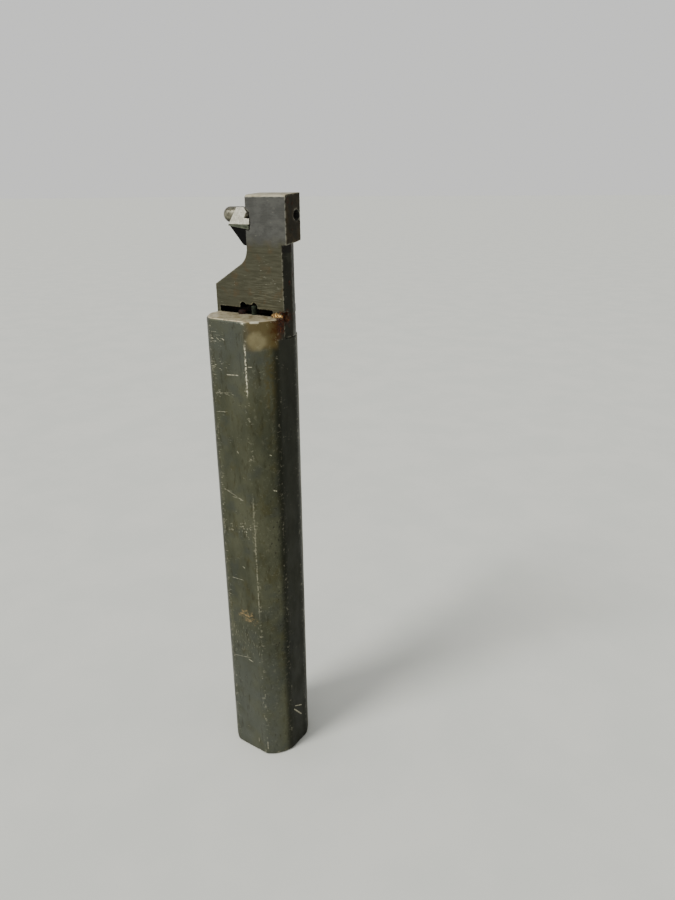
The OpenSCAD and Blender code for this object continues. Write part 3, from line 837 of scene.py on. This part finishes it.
def head_steel():
    f = Finish("head_steel", 0.7)
    edge = f.mask("edge")
    streak = f.cloud(0.9, 4, 0.6, (10, 4, 1), 2.0, 0.6)
    fine = f.cloud(0.24, 3, 0.6, (22, 3, 1), 5.0)
    # ground grey block above, olive shank below
    split = f.maths("ADD", f.axes[2], f.both(f.maths("SUBTRACT", f.cloud(5, 3), 0.5), 8 * MM))
    up = f.span(split, BLOCK_LOW * MM, (BLOCK_LOW + 6.5) * MM)
    lower = f.mix(srgb(68, 67, 53), srgb(82, 81, 66), f.span(streak, 0.34, 0.68))
    lower = f.over(lower, (88, 72, 50), f.span(f.cloud(5, 3, shift=6.0), 0.52, 0.7), 0.5)
    strong = f.both(f.mask("streaky"), f.span(f.cloud(0.5, 3, 0.6, (16, 4, 1), 9.0), 0.5, 0.62))
    lower = f.over(lower, (112, 110, 92), strong, 0.5)
    upper = f.mix(srgb(77, 77, 74), srgb(90, 90, 86), f.span(f.cloud(3, 3, 0.6, (2, 1, 1), 8.0), 0.38, 0.62))
    upper = f.over(upper, (98, 97, 90), f.span(fine, 0.5, 0.66), 0.3)
    base = f.mix(lower, upper, up)
    base = f.over(base, (40, 38, 30), f.span(f.cloud(0.7, 3, shift=12.0), 0.6, 0.74), 0.4)
    # faces turned to +X: a brown tone, darkened as painted shade since they face away from the light
    facing = f.node("ShaderNodeSeparateXYZ", {0: f.node("ShaderNodeTexCoord").outputs["Normal"]})
    side = f.span(facing.outputs[0], 0.6, 0.85)
    brown = f.mix(srgb(26, 22, 8), srgb(46, 37, 17),
                  f.span(f.cloud(3, 4, 0.6, (1, 1, 2), 14.0), 0.4, 0.65))
    # painted shadow: darkest just under the block's overhang
    brown = f.over(brown, (14, 16, 5), f.along(2, BLOCK_LOW + 2, BLOCK_LOW), 0.9)
    brown = f.over(brown, (46, 48, 38), f.mask("greyer"), 0.4)
    base = f.mix(base, brown, f.both(side, 0.95))
    # the block's top faces: ground steel, painted lighter as they face up to the light
    ground_and_light = f.mix(srgb(196, 189, 164), srgb(150, 140, 110),
                   f.span(f.cloud(3, 3, 0.6, (3, 1, 1)), 0.42, 0.68))
    base = f.mix(base, ground_and_light, f.mask("upward"))
    bare = f.both(edge, f.span(f.cloud(1.8, 3, 0.7, shift=15.0), 0.4, 0.6))
    nick = f.both(f.span(f.cloud(0.26, 2, 0.5, (8, 8, 1), 17.0), 0.68, 0.74),
                  f.span(f.cloud(6, 2, shift=18.0), 0.5, 0.65))
    bare = f.most(bare, f.both(nick, 0.6))
    base = f.over(base, (200, 196, 176), bare, 0.65)
    spots = f.both(f.spots(4.5, 0.24, (1, 1, 1.5), 19.0), f.span(f.cloud(1.2, 3, shift=21.0), 0.4, 0.55),
                   side)
    rust = f.both(f.mask("rust"), f.span(f.cloud(1.0, 3, 0.7, shift=20.0), 0.34, 0.52))
    rust = f.most(rust, f.both(spots, 0.8))
    base = f.over(base, (12, 11, 9), f.mask("hollow"), 0.8)
    base = f.mix(base, rust_colour(f, 3.0), rust)
    # painted shade in the channel above the window, the pocket, the gaps between parts and under the block's
    # overhang
    shaded = f.mix(srgb(4, 3, 2), srgb(26, 7, 3), f.span(f.cloud(1.4, 3, shift=23.0), 0.5, 0.7))
    f.colour(f.mix(base, shaded, f.mask("deep")))
    f.metal(f.span(rust, 0, 1, 0.7, 0.05))
    rough = f.span(f.cloud(3, 4, 0.6, (4, 1, 1), 22.0), 0.3, 0.7, 0.38, 0.52)
    f.rough(f.maths("ADD", rough, f.both(rust, 0.4)))
    normal = f.bump(fine, 0.009)
    normal = f.bump(streak, 0.006, under=normal)
    normal = f.bump(f.both(rust, f.cloud(0.5, 3)), 0.12, under=normal)
    return f.done(normal)


def small_steel(name, low, high, metallic, roughness, shift, edge_colour=(236, 232, 218), rust_share=0.0,
                streak=(1, 1, 1), size=1.4):
    """Steel for the small pieces: mottled, worn bright at edges, dark in hollows, with some rust, and painted
    shade where a piece is marked for it.
    """
    f = Finish(name, metallic)
    mottle = f.cloud(size, 4, 0.6, streak, shift)
    base = f.mix(srgb(*low), srgb(*high), f.span(mottle, 0.38, 0.64))
    grime = f.span(f.cloud(size * 0.5, 4, 0.7, shift=shift + 2), 0.56, 0.72)
    base = f.over(base, [v * 0.45 for v in low], grime, 0.5)
    bare = f.both(f.mask("edge"), f.span(f.cloud(0.8, 3, 0.7, shift=shift + 4), 0.36, 0.56))
    base = f.over(base, edge_colour, bare, 0.7)
    base = f.over(base, (20, 18, 15), f.mask("hollow"), 0.7)
    normal = f.bump(f.cloud(0.12, 3, 0.6, streak, shift + 6), 0.008)
    normal = f.bump(mottle, 0.02, under=normal)
    rough = f.span(mottle, 0.3, 0.7, roughness - 0.08, roughness + 0.1)
    if rust_share:
        least = 0.62 - 0.3 * rust_share
        rust = f.span(f.cloud(size * 0.8, 4, 0.7, shift=shift + 8), least, 0.72 - 0.3 * rust_share)
        base = f.mix(base, rust_colour(f, shift), rust)
        f.metal(f.span(rust, 0, 1, metallic, 0.05))
        normal = f.bump(f.both(rust, f.cloud(0.3, 3)), 0.1, under=normal)
        rough = f.maths("ADD", f.both(rust, 0.35), rough)
    f.rough(rough)
    # painted shade, where a piece is marked for it
    f.colour(f.mix(base, srgb(6, 5, 4), f.mask("painted_shade")))
    return f.done(normal)


# ---------------------------------------------------------------- pieces

def build_bar():
    finished("bar_body", detailed_bar(), "holder", "bar", bar_steel())


def build_head(others):
    mesh = remade("tool_head", voxel=0.25, rounds=2)
    faces = lambda p: (p[:, 1] < WALL_Y + 0.3) & (p[:, 2] > BAR_TOP + 4)
    dings = chosen(mesh, 16, 41, faces, (0.5, 1.0), (0.02, 0.06))
    weather(mesh, seed=40, edge_full=0.09, wear=0.05, nick=0.12, uneven=0.02, dings=dings, rounds=(4, 18))
    co, out = positions(mesh), normals(mesh)
    corner = np.linalg.norm((co - [17.0, 0.5, 223.8]) / [4.0, 4.5, 3.0], axis=1)
    paint(mesh, "rust", step(corner + 0.4 * noise(co, 1.6, 42), 1.2, 0.5) * step(co[:, 1], 5.5, 2.5))
    paint(mesh, "streaky", patch(co, (8, -1, 232), (9, 3, 8), 46, 0.3))
    paint(mesh, "greyer", patch(co, (18, 5, 247.2), (3, 4, 2.2), 47, 0.3))
    # painted shade: the channel above the window, the shadow under the block's overhang, the pocket behind
    # the clamp and the gaps next to the cutter parts
    groove = step(co[:, 1], WALL_Y + 0.15, WALL_Y + 0.5) * step(co[:, 2], WINDOW_HIGH, WINDOW_HIGH - 0.6)
    groove *= (co[:, 1] < 4) * (co[:, 0] > -17.2) * (co[:, 0] < 14.5) * (co[:, 2] > BAR_TOP - 0.5)
    overhang = step(co[:, 0], 17.5, 18.2) * step(np.abs(co[:, 2] - BLOCK_LOW - 1.1), 1.9, 1.2)
    inside = (co[:, 0] > 0.0) & (co[:, 0] < 2.4) & (co[:, 1] > -0.75) & (np.abs(co[:, 2] - 262) < 5.5)
    gap = np.maximum(touching(mesh, others, 0.25, 0.7), inside)
    paint(mesh, "deep", np.maximum(np.maximum(groove, 0.8 * overhang), gap))
    # top faces, marked to be painted lighter as they face up to the light
    top = step(out[:, 2], 0.55, 0.7) * step(co[:, 2], 260, 266)
    paint(mesh, "upward", top)
    finished("head_body", mesh, "holder", "tool_head", head_steel())


def build_pins():
    # both pins are coloured darker than their rust and steel: painted shade, as they sit under the head
    pins = small_steel("pin_rust_in_shade", (14, 6, 5), (36, 13, 10), 0.2, 0.6, 51.0, (60, 30, 22), size=0.9)
    mesh = remade("left_key_pin", voxel=0.12, rounds=2)
    weather(mesh, seed=50, edge_full=0.05, nick=0.08, uneven=0.05)
    finished("left_pin_body", mesh, "holder", "left_key_pin", pins)
    green = small_steel("pin_grey", (20, 25, 19), (42, 50, 40), 0.5, 0.5, 61.0, (90, 96, 80), size=0.9)
    mesh = remade("right_key_pin", voxel=0.1, rounds=2)
    weather(mesh, seed=60, edge_full=0.05, nick=0.06, uneven=0.03)
    finished("right_pin_body", mesh, "holder", "right_key_pin", green)


def build_braze():
    mesh = remade("braze_bead", voxel=0.1, rounds=3)
    co, out = positions(mesh), normals(mesh)
    lumpy = 0.16 * noise(co, 0.8, 71) + 0.08 * noise(co, 0.35, 72)
    set_positions(mesh, co - out * np.clip(lumpy + 0.05, 0, 1)[:, None])
    weather(mesh, seed=70, edge_full=0.05)
    gold = small_steel("braze_metal", (150, 112, 58), (214, 182, 118), 0.8, 0.4, 71.0,
                       rust_share=0.5, size=0.7)
    finished("braze_body", mesh, "holder", "braze_bead", gold)


def build_screws():
    dark = small_steel("screw_dark", (38, 38, 35), (56, 55, 50), 0.75, 0.44, 91.0, (92, 90, 82),
                       rust_share=0.25, size=1.2)
    mesh = heel_screws_mesh()
    weather(mesh, seed=90, edge_full=0.03, nick=0.03, rounds=(2, 8))
    finished("heel_screw_pair", mesh, "holder", "heel_screws", dark)
    mesh = remade("seat_screw", voxel=0.08, rounds=2)
    weather(mesh, seed=95, edge_full=0.03)
    finished("seat_screw_body", mesh, "holder", "seat_screw", dark)


def build_cutter(seat, insert, clamp, screw):
    weather(seat, seed=80, edge_full=0.05, wear=0.02, nick=0.05)
    black = small_steel("seat_black", (3, 3, 3), (7, 7, 6), 0.0, 0.6, 81.0, edge_colour=(20, 20, 18))
    black.node_tree.nodes["Principled BSDF"].inputs["Specular IOR Level"].default_value = 0.08
    finished("seat_body", seat, "holder", "seat", black)

    weather(insert, seed=100, edge_full=0.03, rounds=(1, 4))
    carbide = small_steel("carbide_grey", (62, 66, 54), (92, 96, 82), 0.7, 0.36, 101.0, size=1.0,
                          streak=(3, 3, 1), edge_colour=(150, 152, 138))
    finished("insert_body", insert, "insert", "insert", carbide)

    weather(clamp, seed=110, edge_full=0.045, wear=0.03, nick=0.06, uneven=0.02)
    weather(screw, seed=120, edge_full=0.04, nick=0.02, rounds=(2, 8))
    # painted shade: a dark line where the clamp and its screw meet, the screw's shaft where it shows in the
    # shaded gap, and the screw's downward faces
    paint(clamp, "painted_shade", touching(clamp, [screw], 0.22, 0.5))
    shank = step(positions(screw)[:, 0], -5.2, -4.6)
    below = 0.8 * step(normals(screw)[:, 2], -0.25, -0.85)
    paint(screw, "painted_shade", np.maximum(touching(screw, [clamp], 0.3, 0.9), np.maximum(shank, below)))
    bright = small_steel("clamp_bright", (206, 202, 184), (236, 232, 218), 0.75, 0.38, 111.0, size=1.6,
                         rust_share=0.08)
    finished("clamp_body", clamp, "clamp", "clamp", bright)
    worn = small_steel("screw_worn_and_shaded", (84, 82, 68), (126, 123, 105), 0.8, 0.34, 121.0, size=1.4,
                       rust_share=0.08)
    finished("clamp_screw_body", screw, "clamp_screw", "clamp_screw", worn)


# ---------------------------------------------------------------- scene

def make_camera():
    data = bpy.data.cameras.new("camera")
    data.lens = LENS_MM
    data.sensor_width = SENSOR_MM
    data.clip_start = 0.01
    camera = new_object("camera", data)
    turn, dip = math.radians(CAMERA_TURN), math.radians(CAMERA_DIP)
    ahead = Vector((-math.sin(turn) * math.cos(dip), math.cos(turn) * math.cos(dip), -math.sin(dip)))
    right = Vector((math.cos(turn), math.sin(turn), 0))
    up = right.cross(ahead)
    facing = Matrix((right, up, -ahead)).transposed() @ Matrix.Rotation(math.radians(CAMERA_ROLL), 3, "Z")
    camera.matrix_world = Matrix.Translation(CAMERA_AT) @ facing.to_4x4()
    bpy.context.scene.camera = camera


def make_floor():
    mesh = bpy.data.meshes.new("floor")
    far = 60
    mesh.from_pydata([(-far, -far, 0), (far, -far, 0), (far, far, 0), (-far, far, 0)], [], [(0, 1, 2, 3)])
    floor = new_object("floor", mesh)
    f = Finish("floor_paint", 0.0, 0.4)
    base = f.mix(srgb(219, 221, 214), srgb(224, 225, 218), f.span(f.cloud(60, 3), 0.35, 0.65))
    f.colour(base)
    f.rough(f.span(f.cloud(12, 3), 0.3, 0.7, 0.5, 0.62))
    mesh.materials.append(f.done(f.bump(f.cloud(0.8, 2), 0.01)))
    floor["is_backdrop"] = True


def make_light():
    data = bpy.data.lights.new("key", "SUN")
    data.energy = KEY_STRENGTH
    data.angle = math.radians(KEY_ANGLE)
    data.color = (1.0, 0.99, 0.95)
    lamp = new_object("key", data)
    lamp.rotation_mode = "QUATERNION"
    lamp.rotation_quaternion = Vector(KEY_FROM).to_track_quat("Z", "Y")
    world = bpy.data.worlds.new("studio")
    bpy.context.scene.world = world
    world.use_nodes = True
    tree = world.node_tree

    def span(value, low, high, to_low, to_high):
        made = tree.nodes.new("ShaderNodeMapRange")
        made.interpolation_type = "SMOOTHSTEP"
        tree.links.new(value, made.inputs["Value"])
        for name, number in (("From Min", low), ("From Max", high), ("To Min", to_low), ("To Max", to_high)):
            made.inputs[name].default_value = number
        return made.outputs[0]

    # even near the horizon, where it meets the floor; above, brighter towards the key
    place = tree.nodes.new("ShaderNodeTexCoord").outputs["Generated"]
    turned = tree.nodes.new("ShaderNodeVectorMath")
    turned.operation = "DOT_PRODUCT"
    tree.links.new(place, turned.inputs[0])
    turned.inputs[1].default_value = Vector(KEY_FROM).normalized()
    parts = tree.nodes.new("ShaderNodeSeparateXYZ")
    tree.links.new(place, parts.inputs[0])
    above = span(turned.outputs["Value"], *SKY_TURN, SKY_FAR, SKY_NEAR)
    mixed = tree.nodes.new("ShaderNodeMix")
    tree.links.new(span(parts.outputs[2], *HORIZON_BAND, 0.0, 1.0), mixed.inputs[0])
    mixed.inputs[2].default_value = HORIZON
    tree.links.new(above, mixed.inputs[3])
    background = tree.nodes["Background"]
    background.inputs[0].default_value = (1.0, 1.0, 0.985, 1)
    tree.links.new(mixed.outputs[0], background.inputs[1])


make_camera()
make_floor()
make_light()
cutter = [remade("seat", voxel=0.12, rounds=2), insert_mesh(),
          remade("clamp", voxel=0.1, rounds=2), clamp_screw_mesh()]
build_bar()
build_head(cutter[:3])
build_pins()
build_braze()
build_screws()
build_cutter(*cutter)

{"cad": cad_box, "visual": [list(corner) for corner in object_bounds()]}
